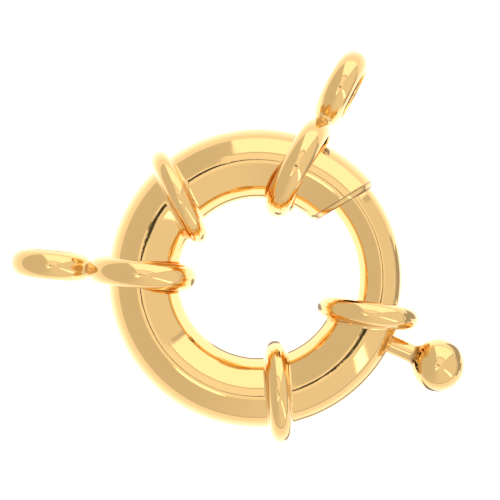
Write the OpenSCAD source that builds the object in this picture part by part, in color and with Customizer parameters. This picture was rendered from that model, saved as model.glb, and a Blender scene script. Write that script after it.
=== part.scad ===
// Round spring clasp for a necklace or bracelet, with two figure-eight end links.
// The ring lies flat in the XY plane, centred on the origin, with +Z towards the viewer.
// Angles run anticlockwise from +X, seen from +Z. All lengths are in millimetres.

/* [Ring tube] */
// Outside diameter of the ring that the tube forms
ring_od = 20; // [19.5:0.1:20.5]
// Outside diameter of the tube
tube_d = 4.8; // [4.74:0.02:4.84]
// Thickness of the tube's wall
tube_wall = 0.3; // [0.26:0.02:0.32]
// Place round the ring of the open mouth
mouth_angle = 40.8; // [38:0.2:43]
// Turn of the mouth's cut, away from square across the tube
mouth_skew = -9.6; // [-10:0.1:0]
// Place round the ring of the closed wall that the spring pushes against
seat_angle = 210; // [205:1:220]
// Thickness of that wall
seat_t = 0.5; // [0.4:0.05:0.8]

/* [Lever slot] */
// Width of the slot that the lever slides along
slot_w = 1.42; // [1.38:0.02:1.5]
// Place round the ring of the slot's end at the closed position
slot_closed = -22.4; // [-22.6:0.1:-22]
// Place round the ring of the slot's end at the open position
slot_open = -76.2; // [-76.8:0.2:-75]

/* [Collars] */
// Outside diameter of the raised collars
collar_od = 6.9; // [6.8:0.05:7]

/* [Stop bead] */
// Diameter of the solder bead that keeps the upper link from the mouth
bead_d = 0.5; // [0.4:0.05:0.5]
// Place round the ring of that bead
bead_angle = 61.6; // [61:0.1:61.8]
// Height of the bead up the tube's side, as an angle from the ring's plane
bead_rise = 37; // [30:1:40]

/* [Bolt and lever] */
// Diameter of the curved bolt
bolt_d = 2.9; // [2.8:0.02:2.92]
// Radius that the bolt's middle line follows
bolt_r = 8.15; // [8.1:0.01:8.16]
// Place round the ring of the end of the bolt's full thickness
bolt_tip = 44; // [43:0.2:45]
// Place round the ring of the bolt's end behind the lever
bolt_tail = -33; // [-34:0.2:-32]
// Length of the bevelled nose past the bolt's full thickness
nose_l = 0.45; // [0.3:0.05:0.5]
// Diameter of the lever's stalk
stalk_d = 1.24; // [1.1:0.02:1.26]
// Place round the ring of the ball on the lever
ball_angle = -25.8; // [-26:0.1:-25.6]
// Distance of the ball from the ring's centre
ball_r = 13.33; // [13:0.01:13.7]
// Direction of the stalk, from the bolt to the ball
stalk_heading = -23.5; // [-24:0.1:-23]
// Diameter of the ball
ball_d = 3.55; // [3.3:0.05:3.7]

/* [Spring] */
// Number of turns in the coil spring
spring_turns = 15; // [12:1:22]
// Radius of the coil, to the middle of the wire
coil_r = 1.15; // [1:0.01:1.2]
// Diameter of the spring's wire
wire_d = 0.36; // [0.3:0.02:0.38]

/* [End links] */
// Outside diameter of the loop round the tube
big_loop_od = 7.5; // [7.46:0.02:7.56]
// Hole in the loop round the tube
big_loop_id = 6.1; // [6.08:0.02:6.2]
// Outside diameter of the loop for the chain
small_loop_od = 5.5; // [5.3:0.05:5.6]
// Hole in the loop for the chain
small_loop_id = 3.8; // [3.6:0.05:3.9]
// Width of the links' rounded band
band_w = 1.96; // [1.88:0.02:1.98]
// Depth that the two loops run into each other where they are soldered
loop_bite = 0.36; // [0.32:0.02:0.42]

/* [Hidden] */
$fn = 96;

ring_r = (ring_od - tube_d) / 2;
bore_r = tube_d / 2 - tube_wall;

// Each collar's place round the ring, its turn away from square, its width, and its shift outwards
ANGLE = 0;
SKEW = 1;
WIDTH = 2;
SHIFT = 3;
end_collar = [-17.8, 9.4, 1.6, 0.1];
low_collar = [-79.8, -6.1, 1.5, 0.1];
far_collar = [134, -17, 1.4, -0.1];
collars = [end_collar, low_collar, far_collar];

// Each link's place round the ring, the heading of its long axis, the lean of its plane, and its
// shift outwards from the tube's middle line, within the play of its big loop
HEADING = 1;
LEAN = 2;
LINK_SHIFT = 3;
left_link = [177.8, 174.5, -1.2, 0.15];
top_link = [70, 61.5, -4.2, 0.22];

// Arc of tube left beyond the mouth, for the slanted cut to take off
mouth_spare = 12;
mouth_cut_l = 2.6;
// Arc of the end collar's face that the bolt's guide hole goes through
guide_play = 0.08;
guide_from = end_collar[ANGLE] - 5;
guide_to = end_collar[ANGLE] + 12;
chamber_end = end_collar[ANGLE] - 2;

seat_arc = seat_t / ring_r * 180 / PI;
nose_bed = 0.2;
nose_drop = 0.4;
fillet_l = 0.5;
fillet_d = 1.9;
link_pitch = (big_loop_od + small_loop_od) / 2 - loop_bite;
link_drop = asin((big_loop_od - small_loop_od) / 2 / link_pitch);
link_lift = (big_loop_od - collar_od) / 2;
spring_play = 0.06;
wire_sides = 6;
turn_steps = 10;

function on_ring(radius, angle) = [radius * cos(angle), radius * sin(angle), 0];

// A curved rod of diameter d, along the circle of the given radius
module arc_rod(radius, d, from, to)
    rotate([0, 0, from])
        rotate_extrude(angle = to - from)
            translate([radius, 0])
                circle(d = d);

// Round-topped band section, from the axis out to the given radius
module crowned_section(radius, width) {
    translate([0, -width / 2])
        square([radius - width / 2, width]);
    translate([radius - width / 2, 0])
        circle(d = width);
}

module collar(place)
    translate(on_ring(ring_r + place[SHIFT], place[ANGLE]))
        rotate([0, 0, place[ANGLE] + place[SKEW]])
            rotate([90, 0, 0])
                rotate_extrude()
                    crowned_section(collar_od / 2, place[WIDTH]);

module stop_bead()
    translate(on_ring(ring_r + tube_d / 2 * cos(bead_rise), bead_angle))
        translate([0, 0, tube_d / 2 * sin(bead_rise)])
            sphere(d = bead_d);

module mouth_cut()
    translate(on_ring(ring_r, mouth_angle))
        rotate([0, 0, mouth_angle + mouth_skew])
            translate([-tube_d, -mouth_cut_l, -tube_d])
                cube([2 * tube_d, mouth_cut_l, 2 * tube_d]);

// Slot along the tube's outermost line, with square ends
module lever_slot()
    rotate([0, 0, slot_open])
        rotate_extrude(angle = slot_closed - slot_open)
            translate([ring_r + bore_r / 2, -slot_w / 2])
                square([tube_d / 2, slot_w]);

// The tube is open inside from the mouth round to the spring's seat, and from there to the end collar
module ring_tube()
    color("gold")
        difference() {
            union() {
                arc_rod(ring_r, tube_d, mouth_angle - mouth_spare, 360 + end_collar[ANGLE]);
                for (place = collars)
                    collar(place);
                stop_bead();
            }
            arc_rod(ring_r, 2 * bore_r, mouth_angle - 2 * mouth_spare, seat_angle - seat_arc / 2);
            arc_rod(ring_r, 2 * bore_r, seat_angle + seat_arc / 2, 360 + chamber_end);
            arc_rod(bolt_r, bolt_d + 2 * guide_play, guide_from, guide_to);
            lever_slot();
            mouth_cut();
        }

// Curved bolt with a bevelled nose, and the lever's stalk and ball
module bolt()
    color("gold") {
        arc_rod(bolt_r, bolt_d, bolt_tail, bolt_tip);
        rotate([0, 0, bolt_tip])
            translate([bolt_r, 0, 0])
                rotate([-90, 0, 0])
                    translate([0, 0, -nose_bed])
                        cylinder(h = nose_l + nose_bed, r1 = bolt_d / 2 - 0.02, r2 = bolt_d / 2 - nose_drop);
        translate(on_ring(ball_r, ball_angle)) {
            sphere(d = ball_d);
            rotate([0, 0, stalk_heading])
                rotate([0, -90, 0]) {
                    cylinder(h = ball_r - bolt_r, d = stalk_d);
                    translate([0, 0, ball_d / 2 - fillet_l / 2])
                        cylinder(h = fillet_l, d1 = fillet_d, d2 = stalk_d);
                }
        }
    }

// A point of the wire's surface: turn is counted along the coil, side round the wire
spring_from = bolt_tail - (wire_d / 2 + spring_play) / bolt_r * 180 / PI;
spring_to = seat_angle - 360 + seat_arc / 2 + (wire_d / 2 + spring_play) / bolt_r * 180 / PI;
spring_steps = spring_turns * turn_steps;
function wire_point(step, side) =
    let (
        swing = spring_from + (spring_to - spring_from) * step / spring_steps,
        wind = 360 * step / turn_steps,
        round = 360 * side / wire_sides,
        out = coil_r + wire_d / 2 * cos(round),
        along = wire_d / 2 * sin(round),
        flat = bolt_r + out * cos(wind)
    )
    [
        flat * cos(swing) - along * sin(swing),
        flat * sin(swing) + along * cos(swing),
        out * sin(wind)
    ];

module spring()
    color("silver")
        polyhedron(
            points = [
                for (step = [0 : spring_steps], side = [0 : wire_sides - 1])
                    wire_point(step, side)
            ],
            faces = [
                for (side = [1 : wire_sides - 2])
                    [0, side + 1, side],
                for (step = [0 : spring_steps - 1], side = [0 : wire_sides - 1], half = [0, 1])
                    let (
                        a = step * wire_sides + side,
                        b = step * wire_sides + (side + 1) % wire_sides
                    )
                    half == 0 ? [a, b, b + wire_sides] : [a, b + wire_sides, a + wire_sides],
                for (side = [1 : wire_sides - 2])
                    let (last = spring_steps * wire_sides)
                    [last, last + side, last + side + 1]
            ]
        );

// One loop of a link, a round-topped band about the Y axis
module loop(outer_d, hole_d)
    rotate([90, 0, 0])
        rotate_extrude()
            difference() {
                crowned_section(outer_d / 2, band_w);
                translate([0, -band_w])
                    square([hole_d / 2, 2 * band_w]);
            }

// Two loops in one plane, soldered edge to edge, with the big loop's centre at the origin
module end_link() {
    loop(big_loop_od, big_loop_id);
    translate([link_pitch, 0, 0])
        loop(small_loop_od, small_loop_id);
}

// The link lies with both of its loops on the surface that the collars rest on
module laid_link(place)
    color("gold")
        translate(on_ring(ring_r + place[LINK_SHIFT], place[ANGLE]) + [0, 0, link_lift])
            rotate([0, 0, place[HEADING]])
                rotate([0, link_drop, 0])
                    rotate([place[LEAN], 0, 0])
                        end_link();

module link_left()
    laid_link(left_link);

module link_top()
    laid_link(top_link);

ring_tube();
bolt();
spring();
link_left();
link_top();
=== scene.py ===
import math

import bpy
from mathutils import Matrix, Vector


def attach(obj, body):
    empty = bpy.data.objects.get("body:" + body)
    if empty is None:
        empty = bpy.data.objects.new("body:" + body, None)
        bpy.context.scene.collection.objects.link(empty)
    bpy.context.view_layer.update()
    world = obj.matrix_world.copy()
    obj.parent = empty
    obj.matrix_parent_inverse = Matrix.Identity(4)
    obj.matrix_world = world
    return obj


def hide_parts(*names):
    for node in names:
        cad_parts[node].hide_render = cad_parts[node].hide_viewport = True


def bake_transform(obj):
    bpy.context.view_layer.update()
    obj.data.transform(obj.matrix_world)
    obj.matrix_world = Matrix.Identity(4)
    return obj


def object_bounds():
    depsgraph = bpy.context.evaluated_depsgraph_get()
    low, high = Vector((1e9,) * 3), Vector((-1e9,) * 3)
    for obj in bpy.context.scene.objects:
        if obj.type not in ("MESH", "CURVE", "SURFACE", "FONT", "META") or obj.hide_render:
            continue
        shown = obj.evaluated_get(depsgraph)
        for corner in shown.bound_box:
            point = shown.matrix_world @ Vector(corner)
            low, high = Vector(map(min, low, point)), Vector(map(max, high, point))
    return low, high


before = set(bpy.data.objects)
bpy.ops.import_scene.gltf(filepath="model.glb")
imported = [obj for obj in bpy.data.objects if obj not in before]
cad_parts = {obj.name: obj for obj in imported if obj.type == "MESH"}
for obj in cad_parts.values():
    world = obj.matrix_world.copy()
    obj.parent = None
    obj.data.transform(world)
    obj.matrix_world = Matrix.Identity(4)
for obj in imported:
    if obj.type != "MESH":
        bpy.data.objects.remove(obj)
cad_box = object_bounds()

MM = 0.001

# Sizes that follow the CAD source, in millimetres, and places round the ring in degrees
RING_R = 7.6
TUBE_R = 2.4
BORE_R = 2.1
# The mouth's place, and the turn of its cut away from square across the tube
MOUTH = (40.8, -9.6)
SEAT = 210
SEAT_T = 0.5
SLOT_CLOSED = -22.4
SLOT_W = 1.42
BOLT_R = 8.15
BOLT_ROD_R = 1.45
BOLT_TIP = 44
BOLT_TAIL = -33
GUIDE_R = 1.53
COLLAR_R = 3.45
# Each collar's place, its turn away from square, its width, and its shift outwards
END_COLLAR = (342.2, 9.4, 1.6, 0.1)
LOW_COLLAR = (280.2, -6.1, 1.5, 0.1)
FAR_COLLAR = (134, -17, 1.4, -0.1)
STALK_R = 0.62
BALL_R = 1.775
# The ball's distance from the ring's centre, and its place
BALL_PLACE = (13.33, -25.8)
STALK_HEADING = -23.5
# Distances from the ball's centre to the stalk's end inside the rod, and to the neck's hollow
STALK_END = 4.1
NECK_AT = 1.7
WIRE_R = 0.18
SPRING_PLAY = 0.06
COIL_R = 1.15
COIL_TURNS = 15
TURN_STEPS = 28
# Each loop's outer radius, and its hole's
BIG_LOOP = (3.75, 3.05)
SMALL_LOOP = (2.75, 1.9)
BAND_W = 1.96
# Rounding of the edges of a link's bore
CORNER = 0.13
LOOP_BITE = 0.36
# Each link's place, its heading, the lean of its plane, and its shift outwards
LINK_LEFT = (177.8, 174.5, -1.2, 0.15)
LINK_TOP = (70, 61.5, -4.2, 0.22)
LINK_LIFT = 0.3
# The bead's place, and its height up the tube's side as an angle
BEAD_PLACE = (61.6, 37)
BEAD_R = 0.25
# Distance between the middles of a link's loops
PITCH = BIG_LOOP[0] + SMALL_LOOP[0] - LOOP_BITE
# Width of the solder in the valley between them
SOLDER = 0.5
# How near the other loop a loop has finer faces
FINE_REACH = 0.6

# Colour and roughness of the gold where it is polished, and where it was left as drawn and painted dark
# as shade
GOLD = (0.875, 0.558, 0.2)
DRAWN_AND_SHADED_GOLD = (0.3, 0.17, 0.07)
POLISHED = 0.06
DRAWN = 0.46

# How bright the studio is, beside what a white card gives, and its parts beside the studio
LIGHT = 1.136
CARD = 1.0
FRAME = 0.62
FRAME_TOP = 0.68
PANEL = 1.38
STRIP = 2.2
SMALL_LIGHT = 1.8
BLACK = 0.02

# How many points the tube's section has, how many of them lie from the slot's middle to its side, and
# from its middle to where they are spaced evenly again
SIDES = 128
SLOT_SIDES = 6
EVEN_SIDES = 9
# Arc between two rows of the tube's points
ROW_STEP = 1.2
# Turns, in degrees, that a small quarter round goes through
QUARTER = (0, 30, 60, 90)
# A place off every plane of symmetry, to sort points by their distance from it
ASIDE = (0.0031, 0.0047, 0.0059)
# Size of the solder at a collar's foot
FILLET = 0.15

# The tube was pulled round a mandrel, which left its inner flank flatter than its outer one. From its
# outward side the section is round for FLAT_FROM degrees, has its radius less by the part FLAT_DEPTH
# between FLAT_LOW and FLAT_END, and gains FLAT_RISE again on the side towards the ring's centre.
FLAT_FROM = 74
FLAT_LOW = 125
FLAT_END = 146
FLAT_DEPTH = 0.111
FLAT_RISE = 0.073


def on_ring(radius, angle):
    angle = math.radians(angle)
    return Vector((radius * math.cos(angle), radius * math.sin(angle), 0))


def eased(turn, start, end):
    part = min(max((math.degrees(turn) - start) / (end - start), 0), 1)
    return (1 - math.cos(math.pi * part)) / 2


def form(turn):
    """The section's radius at a turn from its outward side, as a part of the round one's"""
    return 1 - FLAT_DEPTH * eased(turn, FLAT_FROM, FLAT_LOW) + FLAT_RISE * eased(turn, FLAT_END, 180)


def fresh():
    if bpy.context.object and bpy.context.object.mode != "OBJECT":
        bpy.ops.object.mode_set(mode="OBJECT")
    bpy.ops.object.select_all(action="DESELECT")


def only(piece):
    fresh()
    piece.select_set(True)
    bpy.context.view_layer.objects.active = piece
    return piece


def new_piece(name):
    piece = bpy.context.object
    piece.name = name
    piece.data.name = name
    bpy.ops.object.transform_apply(location=True, rotation=True, scale=True)
    return piece


def edit(mode):
    bpy.ops.object.mode_set(mode="EDIT")
    bpy.ops.mesh.select_mode(type=mode)
    bpy.ops.mesh.select_all(action="DESELECT")


def done():
    bpy.ops.object.mode_set(mode="OBJECT")


def choose_faces(piece, wanted):
    """Selects the faces that wanted says, from object mode, and opens the piece for editing"""
    edit("FACE")
    done()
    for face in piece.data.polygons:
        face.select = wanted(face)
    bpy.ops.object.mode_set(mode="EDIT")


def choose_points(piece, wanted):
    edit("VERT")
    done()
    for point in piece.data.vertices:
        point.select = wanted(point)
    bpy.ops.object.mode_set(mode="EDIT")


def smooth(piece, angle=40):
    only(piece)
    bpy.ops.object.shade_smooth_by_angle(angle=math.radians(angle))


def apply_modifiers(piece):
    only(piece)
    for modifier in list(piece.modifiers):
        bpy.ops.object.modifier_apply(modifier=modifier.name)


# The tube is laid as rows of points. A row is a plane across the tube: its origin, the direction that
# its outward side looks in, and what the points of the row lie on.
class Row:
    def __init__(self, angle, skew, along=0.0, kind="tube", size=0.0, slotted=False, rough_and_shade=None):
        self.facing = math.radians(angle + skew)
        self.out = Vector((math.cos(self.facing), math.sin(self.facing), 0))
        self.ahead = Vector((-math.sin(self.facing), math.cos(self.facing), 0))
        self.origin = on_ring(RING_R, angle) + self.ahead * along
        self.kind = kind
        self.size = size
        self.slotted = slotted
        # How rough the row is left as drawn, and how dark it is painted as shade, from 0 to 1
        self.rough_and_shade = float(kind in ("bore", "guide")) if rough_and_shade is None else rough_and_shade

    def reach(self, origin, direction, ring, radius):
        """Where a line from origin meets a tube of that radius, whose middle line has radius ring"""
        length = radius
        for _ in range(9):
            p = origin + direction * length
            lean = math.hypot(p.x, p.y) - ring
            wanted = radius
            if ring == RING_R:
                wanted = TUBE_R * form(math.atan2(abs(p.z), lean)) + radius - TUBE_R
            length += wanted - math.hypot(lean, p.z)
        return origin + direction * length

    def point(self, turn):
        direction = self.out * math.cos(turn) + Vector((0, 0, math.sin(turn)))
        if self.kind == "tube":
            return self.reach(self.origin, direction, RING_R, TUBE_R) + direction * self.size
        if self.kind == "bore":
            return self.reach(self.origin, direction, RING_R, BORE_R) + direction * self.size
        if self.kind == "guide":
            near = self.origin + self.out * 0.5
            for _ in range(4):
                near += self.out * (BOLT_R - near.length)
            return self.reach(near, direction, BOLT_R, GUIDE_R) + direction * self.size
        radius, shift = self.size
        return self.origin + self.out * shift + direction * radius


def plain_rows(stations, kind="tube", slot=None):
    """Rows between stations, which give a place round the ring and a skew"""

    def row(angle, skew):
        slotted = slot is not None and slot[0] - 0.01 <= angle <= slot[1] + 0.01
        return Row(angle, skew, kind=kind, slotted=slotted)

    rows = []
    for (a, s), (b, t) in zip(stations, stations[1:]):
        count = max(1, round(abs(b - a) / ROW_STEP))
        for i in range(count):
            part = i / count
            rows.append(row(a + (b - a) * part, s + (t - s) * part))
    rows.append(row(*stations[-1]))
    return rows


def foot_arc(width):
    """How far round the ring the collar's fillet starts, as an angle"""
    return math.degrees((width / 2 + FILLET) / RING_R)


def collar_rows(collar, last_side=True):
    """Rows over a soldered collar, from its near fillet to its far one"""
    angle, skew, width, shift = collar
    half = width / 2
    steps = 24

    def foot(side, turn):
        turn = math.radians(turn)
        along = half + FILLET * (1 - math.sin(turn))
        return Row(angle, skew, side * along, "tube", FILLET * (1 - math.cos(turn)))

    near = [foot(-1, turn) for turn in QUARTER]
    crown = []
    for i in range(steps + 1):
        a = math.pi * i / steps
        size = (COLLAR_R - half + half * math.sin(a), shift)
        crown.append(Row(angle, skew, -half * math.cos(a), "collar", size))
    far = [foot(1, turn) for turn in reversed(QUARTER)] if last_side else []
    return near + crown + far


def collar_gap(collar, reach, spare=1.3):
    """Stations that lead to and from a collar: the skew eases off over the given arc"""
    angle, skew, width, _ = collar
    foot = foot_arc(width) + spare
    before = [(angle - foot - reach, 0), (angle - foot, skew + foot)]
    after = [(angle + foot, skew - foot), (angle + foot + reach, 0)]
    return before, after


def mouth_rows():
    """Rows at the mouth: its rim is filed to a narrow slope, and its edges are made rougher and painted
    with dark lines of shade
    """
    # How far a row lies from the mouth's cut, how much lower than the tube, and how rough and how dark
    # with painted shade it is
    rim = [(0.0, 0.19, 1.0), (0.05, 0.14, 0.9), (0.08, 0.115, 0.0), (0.29, 0.03, 0.0)]
    rim += [(0.32, 0.018, 0.9), (0.36, 0.006, 0.9), (0.39, 0.0, 0.0)]
    lip = [(0.06, 0.0), (0.02, 0.02), (0.0, 0.06)]
    outer = [Row(*MOUTH, along, "tube", -drop, rough_and_shade=rough_and_shade) for along, drop, rough_and_shade in rim]
    inner = [Row(*MOUTH, along, "bore", size) for along, size in lip]
    return outer, inner


def guide_rows():
    """Rows of the end collar's face, of the hole in it that guides the bolt, and of the chamber's end"""
    angle, skew, width, shift = END_COLLAR
    half = width / 2
    edge = 0.07
    rows = [Row(angle, skew, half, "collar", (radius, shift)) for radius in (2.55, 2.45)]
    for turn in QUARTER:
        turn = math.radians(turn)
        along = half - edge * (1 - math.cos(turn))
        rows.append(Row(angle, skew, along, "guide", edge * (1 - math.sin(turn)), rough_and_shade=0.0))
    # Deeper in the guide's hole the rows are rough and painted dark as shade
    rows += [Row(angle, skew, half - deep, "guide", 0.0) for deep in (0.4, 0.9, 1.4)]
    rows.append(Row(angle, skew, -half, "bore", 0.0))
    return rows


def ring_rows():
    """All rows of the tube: from the mouth over the outside to the guide, and back inside"""
    mouth_out, mouth_in = mouth_rows()
    first = (MOUTH[0] + 3.6, MOUTH[1] - 3.6)
    square = (MOUTH[0] + 14, 0)
    far_before, far_after = collar_gap(FAR_COLLAR, 20)
    low_before, low_after = collar_gap(LOW_COLLAR, 12, 0.25)
    end_before, _ = collar_gap(END_COLLAR, 14)
    low_foot = low_after[0]
    end_foot = end_before[-1]
    # The row at the slot's closed end leans, so its outer side lies further on than its middle
    slot_end = (360 + SLOT_CLOSED - 3.3, end_foot[1] * 0.9)
    slot = (low_foot[0], slot_end[0])

    outer = mouth_out
    outer += plain_rows([first, square, far_before[0], far_before[1]])
    outer += collar_rows(FAR_COLLAR)
    outer += plain_rows([far_after[0], far_after[1], low_before[0], low_before[1]])
    outer += collar_rows(LOW_COLLAR)
    outer += plain_rows([low_foot, low_after[1], slot_end, end_foot], slot=slot)
    outer += collar_rows(END_COLLAR, last_side=False)

    inner = plain_rows([end_foot, slot_end, low_after[1], low_foot], "bore", slot)
    inner += plain_rows([low_foot, low_before[1], low_before[0], far_after[1], far_after[0]], "bore")[1:]
    inner += plain_rows([far_before[1], far_before[0], square, first], "bore")
    inner += mouth_in
    return outer + guide_rows() + inner


def row_turn(row, side):
    """The turn of a row's point. The slot's sides are parallel, so the points near them shift a little"""
    middle = 3 * SIDES // 4
    past_slot = abs(side - middle) - SLOT_SIDES
    blend = EVEN_SIDES - SLOT_SIDES
    if not row.slotted or not 0 <= past_slot < blend:
        return math.pi / 2 + 2 * math.pi * side / SIDES
    half = math.asin(SLOT_W / 2 / (BORE_R if row.kind == "bore" else TUBE_R))
    even = 2 * math.pi * EVEN_SIDES / SIDES
    return (half + (even - half) * past_slot / blend) * (1 if side > middle else -1)


def make_ring():
    rows = ring_rows()
    fresh()
    bpy.ops.mesh.primitive_circle_add(
        vertices=SIDES,
        radius=TUBE_R * MM,
        fill_type="NOTHING",
        location=(RING_R * MM, 0, 0),
        rotation=(math.pi / 2, 0, 0),
    )
    ring = new_piece("ring_shell")
    # The spin only joins the rows with faces, and each row is laid in its own place after it
    edit("VERT")
    bpy.ops.mesh.select_all(action="SELECT")
    bpy.ops.mesh.spin(steps=len(rows) - 1, angle=math.radians(300), center=(0, 0, 0), axis=(0, 0, -1))
    done()
    # The point attribute inside carries each row's roughness and painted shade
    inside = ring.data.attributes.new("inside", "FLOAT", "POINT")
    points = ring.data.vertices
    for r, row in enumerate(rows):
        for side in range(SIDES):
            points[r * SIDES + side].co = row.point(row_turn(row, side)) * MM
            inside.data[r * SIDES + side].value = row.rough_and_shade

    def in_slot(face):
        for index in face.vertices:
            row, side = divmod(index, SIDES)
            if row >= len(rows) or not rows[row].slotted or abs(side - 3 * SIDES // 4) > SLOT_SIDES:
                return False
        return True

    # The mouth's rim joins the outside to the bore, and then the slot's edges do
    last = (len(rows) - 1) * SIDES
    choose_points(ring, lambda point: point.index < SIDES or point.index >= last)
    bpy.ops.mesh.bridge_edge_loops()
    done()
    choose_faces(ring, in_slot)
    bpy.ops.mesh.delete(type="FACE")
    bpy.ops.mesh.select_mode(type="EDGE")
    bpy.ops.mesh.select_non_manifold(extend=False)
    bpy.ops.mesh.bridge_edge_loops()
    bpy.ops.mesh.select_all(action="SELECT")
    bpy.ops.mesh.normals_make_consistent(inside=False)
    done()
    wear_edges(ring, 0.06, 55)
    solder(ring, make_bead())
    drop_slivers(ring, 0.002)
    smooth(ring, 40)
    return ring


def wear_edges(piece, width, sharp):
    """Rounds the edges that turn by more than sharp degrees"""
    bevel = piece.modifiers.new("worn edges", "BEVEL")
    bevel.width = width * MM
    bevel.segments = 2
    bevel.limit_method = "ANGLE"
    bevel.angle_limit = math.radians(sharp)
    apply_modifiers(piece)


def solder(piece, part):
    """Makes one closed solid of two, and uses up the second"""
    join = piece.modifiers.new("solder", "BOOLEAN")
    join.operation = "UNION"
    join.solver = "EXACT"
    join.object = part
    apply_modifiers(piece)
    bpy.data.objects.remove(part)
    # The union leaves its points in another order in each run, so they are sorted
    bpy.context.scene.cursor.location = ASIDE
    edit("VERT")
    bpy.ops.mesh.select_all(action="SELECT")
    bpy.ops.mesh.sort_elements(type="CURSOR_DISTANCE", elements={"VERT", "EDGE", "FACE"})
    done()


def soften(piece, first, second, reach):
    """Rounds off the valley between two soldered parts, whose distances the two functions give"""

    def height(p):
        a, b = first(p), second(p)
        near = max(0.0, 1 - abs(a - b) / reach)
        return min(a, b) - near * near * reach / 4

    nudge = 0.002
    steps = [Vector(axis) * nudge for axis in ((1, 0, 0), (0, 1, 0), (0, 0, 1))]
    for point in piece.data.vertices:
        p = point.co / MM
        a, b = first(p), second(p)
        if min(abs(a), abs(b)) > 0.02 or abs(a - b) > reach:
            continue
        for _ in range(4):
            slope = Vector([(height(p + step) - height(p - step)) / (2 * nudge) for step in steps])
            p = p - slope * (height(p) / slope.length_squared)
        point.co = p * MM


def paint_rough_and_shade(piece, level):
    """Marks at each of the piece's points how rough it is left and how dark it is painted as shade, from
    0 to 1
    """
    marks = piece.data.attributes.new("inside", "FLOAT", "POINT")
    for point, mark in zip(piece.data.vertices, marks.data):
        mark.value = level(point.co / MM)


def drop_slivers(piece, gap):
    """Takes out faces thinner than the gap, and then the points in which only two edges meet"""
    only(piece)
    edit("VERT")
    bpy.ops.mesh.select_all(action="SELECT")
    bpy.ops.mesh.dissolve_degenerate(threshold=gap * MM)
    done()
    edges_at = [0] * len(piece.data.vertices)
    for line in piece.data.edges:
        for index in line.vertices:
            edges_at[index] += 1
    choose_points(piece, lambda point: edges_at[point.index] == 2)
    bpy.ops.mesh.dissolve_verts()
    bpy.ops.mesh.select_all(action="SELECT")
    bpy.ops.mesh.normals_make_consistent(inside=False)
    done()


def make_bead():
    """The small bead of solder on the tube's side that keeps the upper link from the mouth"""
    fresh()
    angle, rise = BEAD_PLACE
    rise = math.radians(rise)
    out = on_ring(1, angle) * math.cos(rise) + Vector((0, 0, math.sin(rise)))
    at = (on_ring(RING_R, angle) + out * TUBE_R) * MM
    bpy.ops.mesh.primitive_uv_sphere_add(segments=32, ring_count=20, radius=BEAD_R * MM, location=at)
    bead = new_piece("stop_bead")
    # It slumps onto the tube
    for point in bead.data.vertices:
        height = (point.co - at).dot(out)
        away = (point.co - at) - out * height
        point.co = at + out * height * 1.05 + away * (1.05 - 0.15 * height / (BEAD_R * MM))
    return bead


def make_seat():
    """The wall inside the tube that the spring pushes against"""
    fresh()
    place = on_ring(RING_R, SEAT) * MM
    bpy.ops.mesh.primitive_cylinder_add(
        vertices=SIDES,
        radius=BORE_R * MM,
        depth=SEAT_T * MM,
        location=place,
        rotation=(math.pi / 2, 0, math.radians(SEAT)),
    )
    seat = new_piece("spring_seat")
    faces = [Row(SEAT, 0, along, "bore", -0.006) for along in (-SEAT_T / 2, SEAT_T / 2)]
    for point in seat.data.vertices:
        p = point.co / MM - place / MM
        row = faces[int(p.dot(faces[0].ahead) > 0)]
        point.co = row.point(math.atan2(p.z, p.dot(row.out))) * MM
    wear_edges(seat, 0.08, 30)
    # The seat is rough and painted dark as shade all over
    paint_rough_and_shade(seat, lambda p: 1.0)
    smooth(seat)
    return seat


def make_rod():
    """The curved rod of the bolt, with its bevelled nose"""
    fresh()
    sides = 72
    start = on_ring(BOLT_R, BOLT_TAIL) * MM
    bpy.ops.mesh.primitive_circle_add(
        vertices=sides,
        radius=BOLT_ROD_R * MM,
        fill_type="NOTHING",
        location=start,
        rotation=(math.pi / 2, 0, math.radians(BOLT_TAIL)),
    )
    rod = new_piece("bolt_and_lever")
    edit("VERT")
    bpy.ops.mesh.select_all(action="SELECT")
    bpy.ops.mesh.spin(
        steps=64, angle=math.radians(BOLT_TIP - BOLT_TAIL), center=(0, 0, 0), axis=(0, 0, -1)
    )
    # The spin leaves its last loop selected, which grows into the bevelled nose
    tip = on_ring(BOLT_R, BOLT_TIP) * MM
    ahead = on_ring(1, BOLT_TIP + 90) * MM
    nose = [(0.06, 0.985), (0.1, 0.955), (0.16, 0.88), (0.08, 0.9), (0.04, 0.9), (0.01, 0.6)]
    grow_loops(tip, ahead, nose)
    bpy.ops.mesh.edge_face_add()
    done()
    back = on_ring(1, BOLT_TAIL - 90) * MM
    choose_points(rod, lambda p: p.index < sides)
    grow_loops(start, back, [(0.05, 0.99), (0.04, 0.96), (0.01, 0.92)])
    bpy.ops.mesh.edge_face_add()
    bpy.ops.mesh.select_all(action="SELECT")
    bpy.ops.mesh.normals_make_consistent(inside=False)
    done()
    for point in rod.data.vertices:
        x, y, z = point.co / MM
        far = math.hypot(x, y)
        part = form(math.atan2(abs(z), far - BOLT_R))
        far_now = BOLT_R + (far - BOLT_R) * part
        point.co = Vector((x * far_now / far, y * far_now / far, z * part)) * MM
    return rod


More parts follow.
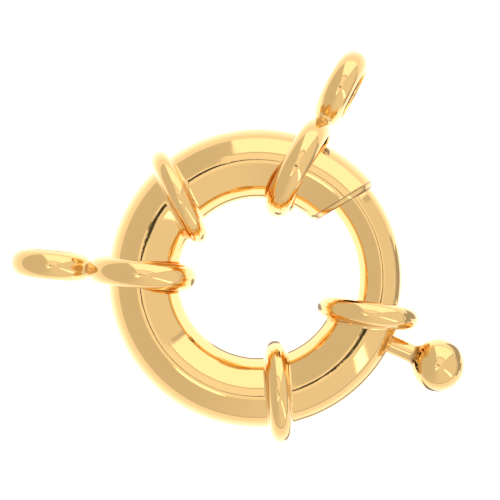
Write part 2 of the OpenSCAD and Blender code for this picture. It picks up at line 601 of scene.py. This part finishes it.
def make_lever(ball_at, inward):
    """The ball, and the stalk that goes inward from it into the rod"""
    fresh()
    bpy.ops.mesh.primitive_uv_sphere_add(
        segments=72,
        ring_count=48,
        radius=BALL_R * MM,
        location=ball_at,
        rotation=(0, -math.pi / 2, math.radians(STALK_HEADING)),
    )
    lever = new_piece("lever")
    cap = BALL_R * math.cos(math.radians(28)) * MM
    choose_points(lever, lambda p: (p.co - ball_at).dot(inward) > cap)
    bpy.ops.mesh.delete(type="VERT")
    done()
    # The neck leaves the ball 30 degrees from the stalk's line, and its hollow ends along the stalk
    leave = math.cos(math.radians(30))
    here, radius = BALL_R * leave, BALL_R / 2
    choose_points(lever, lambda p: abs((p.co - ball_at).dot(inward) - here * MM) < 0.02 * MM)
    hollow = BALL_R - 2 * STALK_R
    neck = (BALL_R + hollow) * leave
    stations = []
    for turn in (37.5, 45, 52.5, 60, 67.5, 75, 82.5, 90):
        turn = math.radians(turn)
        stations.append((neck - hollow * math.cos(turn), STALK_R + hollow * (1 - math.sin(turn))))
    # Closer loops where the stalk meets the rod
    reaches = (2.6, 3.0, 3.2, 3.3, 3.4, 3.5, 3.6, 3.7, 3.85, STALK_END)
    stations += [(reach, STALK_R) for reach in reaches]
    loops = []
    start = ball_at + inward * here * MM
    for reach, size in stations:
        loops.append((reach - here, size / radius))
        here, radius = reach, size
    grow_loops(start, inward * MM, loops)
    bpy.ops.mesh.edge_face_add()
    bpy.ops.mesh.select_all(action="SELECT")
    bpy.ops.mesh.normals_make_consistent(inside=False)
    done()
    return lever


def make_bolt():
    ball_at = on_ring(*BALL_PLACE) * MM
    inward = -on_ring(1, STALK_HEADING)
    bolt = make_rod()
    solder(bolt, make_lever(ball_at, inward))

    def from_rod(p):
        lean = math.hypot(p.x, p.y) - BOLT_R
        return math.hypot(lean, p.z) - BOLT_ROD_R * form(math.atan2(abs(p.z), lean))

    def stalk_place(p):
        """How far a point lies from the ball's centre along the stalk, and away from its line"""
        from_ball = p - ball_at / MM
        along = from_ball.dot(inward)
        return along, (from_ball - inward * along).length

    def from_stalk(p):
        along, away = stalk_place(p)
        return max(away - STALK_R, along - STALK_END)

    # Painted shade, with more roughness, in the hollow of the neck between the ball and the stalk
    def shade_in_neck(p):
        along, away = stalk_place(p)
        return 0.7 * max(0.0, 1 - abs(along - NECK_AT) / 0.3) * float(away < 1)

    soften(bolt, from_rod, from_stalk, 0.25)
    drop_slivers(bolt, 0.006)
    # Only the neck's hollow is painted dark as shade
    paint_rough_and_shade(bolt, shade_in_neck)
    smooth(bolt, 35)
    return bolt


def grow_loops(centre, step, loops):
    """Extrudes the selected loop along step, and scales each new loop about its own centre"""
    here = Vector(centre)
    for length, size in loops:
        move = step * length
        here += move
        bpy.ops.mesh.extrude_region_move(TRANSFORM_OT_translate={"value": move})
        bpy.ops.transform.resize(value=(size, size, size), center_override=here)


def d_section(side, count, outer, hole):
    """A point of the band's section: a round crown, and a flat bore with rounded edges"""
    half = BAND_W / 2
    centre = outer - half
    reach = math.acos((hole + CORNER - centre) / half)
    crown = 2 * reach * half
    edge = CORNER * (math.pi - reach)
    width = half * math.sin(reach) - CORNER * math.sin(reach)
    total = crown + 2 * edge + 2 * width
    at = total * side / count
    if at < crown:
        a = -reach + at / half
        return centre + half * math.cos(a), half * math.sin(a)
    at -= crown
    # The rounded edge is centred just inside the crown's end
    ex, ey = centre + (half - CORNER) * math.cos(reach), (half - CORNER) * math.sin(reach)
    turn = math.pi - reach
    if at < edge:
        a = reach + turn * at / edge
        return ex + CORNER * math.cos(a), ey + CORNER * math.sin(a)
    at -= edge
    flat = 2 * ey
    if at < 2 * width:
        return ex - CORNER, ey - flat * at / (2 * width)
    at -= 2 * width
    a = math.pi + turn * at / edge
    return ex + CORNER * math.cos(a), -ey + CORNER * math.sin(a)


def make_loop(name, outer, hole, sides, steps):
    fresh()
    bpy.ops.mesh.primitive_circle_add(
        vertices=sides, radius=0.5 * MM, fill_type="NOTHING", location=(outer * MM, 0, 0)
    )
    loop = new_piece(name)
    for side in range(sides):
        out, across = d_section(side, sides, outer, hole)
        loop.data.vertices[side].co = Vector((out, across, 0)) * MM
    edit("VERT")
    bpy.ops.mesh.select_all(action="SELECT")
    bpy.ops.mesh.spin(steps=steps, angle=2 * math.pi, center=(0, 0, 0), axis=(0, 1, 0))
    bpy.ops.mesh.select_all(action="SELECT")
    bpy.ops.mesh.remove_doubles(threshold=0.001 * MM)
    bpy.ops.mesh.normals_make_consistent(inside=False)
    done()
    return loop


def make_link(name, place):
    big = make_loop(name, *BIG_LOOP, sides=60, steps=144)
    small = make_loop("small_loop", *SMALL_LOOP, sides=56, steps=120)
    half = BAND_W / 2
    only(small)
    small.location = (PITCH * MM, 0, 0)
    bpy.ops.object.transform_apply(location=True, rotation=True, scale=True)

    def from_big(p):
        return math.hypot(math.hypot(p.x, p.z) - BIG_LOOP[0] + half, p.y) - half

    def from_small(p):
        return math.hypot(math.hypot(p.x - PITCH, p.z) - SMALL_LOOP[0] + half, p.y) - half

    # Finer faces where the loops meet, then one solid of them with its valley filled by solder
    for loop, other in ((big, from_small), (small, from_big)):
        only(loop)
        choose_faces(loop, lambda face: other(face.center / MM) < FINE_REACH)
        bpy.ops.mesh.subdivide(number_cuts=1)
        done()
    solder(big, small)
    soften(big, from_big, from_small, SOLDER)
    drop_slivers(big, 0.012)
    smooth(big, 35)
    lay_link(big, place)
    return big


def lay_link(link, place):
    angle, heading, lean, shift = place
    drop = math.asin((BIG_LOOP[0] - SMALL_LOOP[0]) / PITCH)
    at = (on_ring(RING_R + shift, angle) + Vector((0, 0, LINK_LIFT))) * MM
    turn = (
        Matrix.Rotation(math.radians(heading), 4, "Z")
        @ Matrix.Rotation(drop, 4, "Y")
        @ Matrix.Rotation(math.radians(lean), 4, "X")
    )
    only(link)
    link.matrix_world = Matrix.Translation(at) @ turn
    bpy.ops.object.transform_apply(location=True, rotation=True, scale=True)


def make_spring():
    wire_gap = math.degrees((WIRE_R + SPRING_PLAY) / BOLT_R)
    first = BOLT_TAIL - wire_gap
    last = SEAT - 360 + math.degrees(SEAT_T / 2 / RING_R) + wire_gap
    fresh()
    bpy.ops.mesh.primitive_circle_add(
        vertices=12,
        radius=WIRE_R * MM,
        fill_type="NOTHING",
        location=(COIL_R * MM, 0, 0),
        rotation=(math.pi / 2, 0, 0),
    )
    spring = new_piece("coil_spring")
    length = math.radians(first - last) * BOLT_R
    screw = spring.modifiers.new("turns", "SCREW")
    screw.axis = "Z"
    screw.iterations = COIL_TURNS
    screw.steps = TURN_STEPS
    screw.render_steps = TURN_STEPS
    screw.screw_offset = length / COIL_TURNS * MM
    screw.use_normal_calculate = True
    apply_modifiers(spring)
    edit("EDGE")
    bpy.ops.mesh.select_non_manifold(extend=False)
    bpy.ops.mesh.fill()
    done()
    # The straight coil is bent along the bolt's circle
    for point in spring.data.vertices:
        x, y, z = (c / MM for c in point.co)
        angle = math.radians(first + (last - first) * z / length)
        radius = BOLT_R + x
        point.co = Vector((radius * math.cos(angle), radius * math.sin(angle), y)) * MM
    only(spring)
    edit("VERT")
    bpy.ops.mesh.select_all(action="SELECT")
    bpy.ops.mesh.normals_make_consistent(inside=False)
    done()
    smooth(spring, 60)
    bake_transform(spring)
    return spring


# Shader maths: a socket that takes part in Python expressions
class Shade:
    def __init__(self, tree, socket):
        self.tree = tree
        self.socket = socket

    def math(self, operation, *others):
        return node(self.tree, "ShaderNodeMath", {"operation": operation}, self, *others)

    def __add__(self, other):
        return self.math("ADD", other)

    def __radd__(self, other):
        return self.math("ADD", other)

    def __sub__(self, other):
        return self.math("SUBTRACT", other)

    def __rsub__(self, other):
        return node(self.tree, "ShaderNodeMath", {"operation": "SUBTRACT"}, other, self)

    def __mul__(self, other):
        return self.math("MULTIPLY", other)

    def __rmul__(self, other):
        return self.math("MULTIPLY", other)

    def step(self, start, end):
        """0 before start and 1 after end, with an eased slope between"""
        settings = {"interpolation_type": "SMOOTHSTEP"}
        if start <= end:
            return node(self.tree, "ShaderNodeMapRange", settings, self, start, end, 0.0, 1.0)
        return 1 - node(self.tree, "ShaderNodeMapRange", settings, self, end, start, 0.0, 1.0)

    def band(self, low, high, soft):
        """1 from low to high, fading out over soft on both sides"""
        return self.step(low - soft / 2, low + soft / 2) * self.step(high + soft / 2, high - soft / 2)


def node(tree, kind, settings, *values, out=0, **named):
    """Adds a node: its settings are set first, then its sockets in order, and named ones by name"""
    made = tree.nodes.new(kind)
    for key, value in settings.items():
        setattr(made, key, value)
    pairs = [(made.inputs[i], value) for i, value in enumerate(values)]
    pairs += [(made.inputs[key.replace("_", " ")], value) for key, value in named.items()]
    for socket, value in pairs:
        if value is None:
            continue
        if isinstance(value, Shade):
            tree.links.new(value.socket, socket)
        elif socket.type == "RGBA" and len(value) == 3:
            socket.default_value = (*value, 1.0)
        else:
            socket.default_value = value
    return Shade(tree, made.outputs[out]) if len(made.outputs) else None


def fresh_tree(owner):
    owner.use_nodes = True
    owner.node_tree.nodes.clear()
    return owner.node_tree


def split(tree, vector):
    parts = node(tree, "ShaderNodeSeparateXYZ", {}, vector).socket.node.outputs
    return [Shade(tree, part) for part in parts]


def grey(tree, level):
    return node(tree, "ShaderNodeCombineColor", {}, level, level, level)


def lay(level, mask, value):
    """The level outside the mask, and the value where the mask is 1"""
    return level * (1 - mask) + value * mask


def make_gold(name, rough_and_shaded=False):
    """Polished gold plate under clear lacquer, rougher where it was left as drawn, and there painted
    darker as shade
    """
    material = bpy.data.materials.new(name)
    tree = fresh_tree(material)
    place = node(tree, "ShaderNodeTexCoord", {}, out=3)
    colour, roughness = GOLD, POLISHED
    if rough_and_shaded:
        # Where inside is 1 the colour is painted dark as shade and the gold is rougher
        inside = node(tree, "ShaderNodeAttribute", {"attribute_name": "inside"}, out=2)
        # The Mix node's second to sixth sockets are for numbers and vectors
        mixed = (inside, None, None, None, None, None, GOLD, DRAWN_AND_SHADED_GOLD)
        colour = node(tree, "ShaderNodeMix", {"data_type": "RGBA"}, *mixed, out=2)
        roughness = POLISHED + (DRAWN - POLISHED) * inside
    waves = node(tree, "ShaderNodeTexNoise", {}, place, Scale=420.0, Detail=1.0)
    ripples = node(tree, "ShaderNodeTexNoise", {}, place, Scale=1500.0, Detail=2.0)
    height = 0.012 * waves + 0.0025 * ripples
    bump = node(tree, "ShaderNodeBump", {}, Strength=1.0, Distance=0.001, Height=height)
    shader = node(
        tree,
        "ShaderNodeBsdfPrincipled",
        {},
        Base_Color=colour,
        Metallic=1.0,
        Roughness=roughness,
        Coat_Weight=1.0,
        Coat_Roughness=0.04,
        Normal=bump,
    )
    node(tree, "ShaderNodeOutputMaterial", {}, shader)
    return material


def make_steel():
    material = bpy.data.materials.new("spring_steel")
    tree = fresh_tree(material)
    shader = node(
        tree, "ShaderNodeBsdfPrincipled", {}, Base_Color=(0.6, 0.58, 0.55), Metallic=1.0, Roughness=0.28
    )
    node(tree, "ShaderNodeOutputMaterial", {}, shader)
    return material


def make_floor():
    fresh()
    low = cad_box[0].z
    bpy.ops.mesh.primitive_plane_add(size=1.2, location=(0, 0, low))
    floor = new_piece("floor")
    material = bpy.data.materials.new("pale_floor_painted_light")
    tree = fresh_tree(material)
    seen = node(tree, "ShaderNodeLightPath", {}, out=0)
    place = node(tree, "ShaderNodeTexCoord", {}, out=3)
    x, y = split(tree, place)[:2]
    away = (x * x + y * y).math("SQRT")
    turn = y.math("ARCTAN2", x) * (180 / math.pi)
    # What the gold sees: paper that glows, brighter close by as a painted pool of light
    paper = 1.0 + 0.38 * (1 - away.step(0.008, 0.032))
    # Painted shade on the floor at the right, in place of the tent's dark opening; its edge stands nearer
    # beside the bolt and the ball
    edge = 0.028 - 0.013 * y.band(-0.0035, 0.0045, 0.0015) - 0.007 * y.band(-0.009, -0.0045, 0.001)
    shade = (x - edge).step(-0.0006, 0.001) * (1 - away.step(0.1, 0.14))
    shade *= (0.0005 + 0.3 * x - y).step(-0.001, 0.001) * (y - 0.00225 + 0.62 * x).step(-0.001, 0.001)
    paper = lay(paper, shade, 0.42)
    # Painted shade in a dark patch below the ring's middle, and a painted shadow as a dark arc outside
    # the ring at the lower right
    middle = turn.band(-125, -25, 10) * away.band(0.0008, 0.0032, 0.0008)
    paper = paper * (1 - 0.7 * middle)
    line = turn.band(-78, -27, 6) * away.step(0.0135, 0.0141) * (1 - away.step(0.0152, 0.0159))
    paper = lay(paper, line, 0.3) * LIGHT
    # Rays that the gold reflects see the floor glow with this painted light and shade; camera rays see
    # plain paper with an even glow
    reflected = node(tree, "ShaderNodeEmission", {}, grey(tree, paper), 1.0)
    plain = node(tree, "ShaderNodeBsdfDiffuse", {}, (0.8, 0.8, 0.8))
    glow = node(tree, "ShaderNodeEmission", {}, (1.0, 1.0, 1.0), 0.85)
    shown = node(tree, "ShaderNodeAddShader", {}, plain, glow)
    mixed = node(tree, "ShaderNodeMixShader", {}, seen, reflected, shown)
    node(tree, "ShaderNodeOutputMaterial", {}, mixed)
    floor.data.materials.append(material)
    return floor


def make_studio():
    """Soft panels all round, laid out by direction: azimuth from +X, and the angle from straight up"""
    world = bpy.data.worlds.new("studio")
    bpy.context.scene.world = world
    tree = fresh_tree(world)
    seen = node(tree, "ShaderNodeLightPath", {}, out=0)
    direction = node(tree, "ShaderNodeTexCoord", {}, out=0)
    x, y, z = split(tree, direction)
    down = z.math("ARCCOSINE") * (180 / math.pi)
    azimuth = y.math("ARCTAN2", x) * (180 / math.pi)

    # The tent's walls: dimmer on the left, and a paler patch overhead
    level = 0.67 + 0.17 * azimuth.band(-100, 90, 60)
    level = lay(level, down.step(20, 11), CARD)
    level = lay(level, azimuth.band(37, 107, 6) * down.step(38, 36), CARD)
    # The large panel at the upper right, in its darker frame
    level = lay(level, azimuth.band(36, 103, 2) * down.band(34, 38, 2), FRAME_TOP)
    level = lay(level, azimuth.band(37.5, 101, 1.5) * down.step(37.5, 39), PANEL)
    level = lay(level, azimuth.band(34.5, 37.5, 1.5) * down.band(48, 100, 4), FRAME)
    # A narrow slanted strip light, and a small one
    slanted = azimuth + 0.08 * (down - 45)
    level = lay(level, slanted.band(-41, -34, 2) * down.band(30, 80, 6), STRIP)
    level = lay(level, azimuth.band(-131, -105, 4) * down.band(13, 23, 3), SMALL_LIGHT)
    # The camera's dark bar overhead, as two wedges about shifted middles. Each goes round from low to
    # high, and down to near, or to far past the turn called change.
    for low, high, change, near, far in ((112, 163, 132, 7.5, 5.5), (-40, 14, -14, 9.5, 3.5)):
        shift = on_ring(0.026, (low + high) / 2)
        part = (y + shift.y).math("ARCTAN2", x + shift.x) * (180 / math.pi)
        long = near + (far - near) * part.step(change - 6, change + 6)
        level = lay(level, part.band(low, high, 3) * (down - long).step(0.5, -0.5), BLACK)
    # Its two narrow arms, which reach further down
    for arm in (155, -25):
        level = lay(level, azimuth.band(arm - 3, arm + 3, 2) * down.step(14.5, 13), BLACK)
    # The tent's lower edge, and the paper below it
    level = lay(level, azimuth.band(-125, 30, 12) * down.band(86, 92, 2), FRAME)
    level = lay(level, down.step(90, 96), CARD)
    room = node(tree, "ShaderNodeBackground", {}, grey(tree, level), LIGHT)
    plain = node(tree, "ShaderNodeBackground", {}, (0.93, 0.93, 0.93), 1.0)
    mixed = node(tree, "ShaderNodeMixShader", {}, seen, room, plain)
    node(tree, "ShaderNodeOutputWorld", {}, mixed)


def make_camera():
    # Straight above the clasp, and so far away that it shows the clasp nearly without perspective
    lens = bpy.data.cameras.new("camera")
    camera = bpy.data.objects.new("camera", lens)
    bpy.context.scene.collection.objects.link(camera)
    camera.location = (-0.000533, 0.001867, 0.35)
    lens.sensor_width = 36
    lens.lens = 378
    lens.clip_start = 0.01
    lens.clip_end = 10
    bpy.context.scene.camera = camera


def dress(piece, material, body, slot, *stands_for, blended=False):
    piece.data.materials.clear()
    piece.data.materials.append(material)
    if not blended:
        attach(piece, body)
    if stands_for:
        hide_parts(*stands_for)


bpy.context.scene.view_settings.view_transform = "Standard"
make_camera()
make_studio()
make_floor()
gold = make_gold("polished_gold")
# This gold is painted dark as shade in the tube's bore, at the mouth's edges, on the seat and in the
# lever's neck
shaded_part_gold = make_gold("part_polished_shaded_gold", rough_and_shaded=True)
steel = make_steel()

dress(make_ring(), shaded_part_gold, "ring", "gold", "ring_tube")
dress(make_seat(), shaded_part_gold, "ring", "gold")
dress(make_bolt(), shaded_part_gold, "bolt", "gold", "bolt")
dress(make_link("end_link_left", LINK_LEFT), gold, "link_left", "gold", "link_left")
dress(make_link("end_link_top", LINK_TOP), gold, "link_top", "gold", "link_top")
dress(make_spring(), steel, "bolt", "spring_steel", "spring", blended=True)
fresh()
